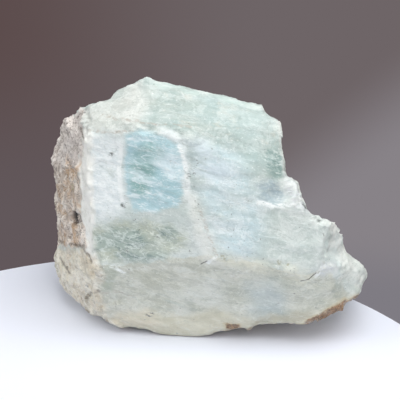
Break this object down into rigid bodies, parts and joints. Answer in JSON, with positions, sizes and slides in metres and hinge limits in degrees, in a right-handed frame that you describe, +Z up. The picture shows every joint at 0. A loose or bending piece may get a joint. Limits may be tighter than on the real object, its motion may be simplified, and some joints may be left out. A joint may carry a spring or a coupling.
{
  "type": "rough aquamarine",
  "caption": "Rough aquamarine lump with flat crystal faces, a straight top ridge, a crusty end and a stepped broken end. It stands free on a small flat spot as a mineral specimen.",
  "frame": {"origin": "middle of the bounding box's underside, on the surface the stone stands on", "axes": "+Z up; +X towards the stepped broken end, -X towards the crusty end; -Y is the front, with the blue window"},
  "size_m": [0.1012, 0.0686, 0.0767],
  "materials": {
    "stone": "milky, satin"
  },
  "bodies": {
    "root": {"rough_aquamarine": "stone"}
  },
  "joints": []
}
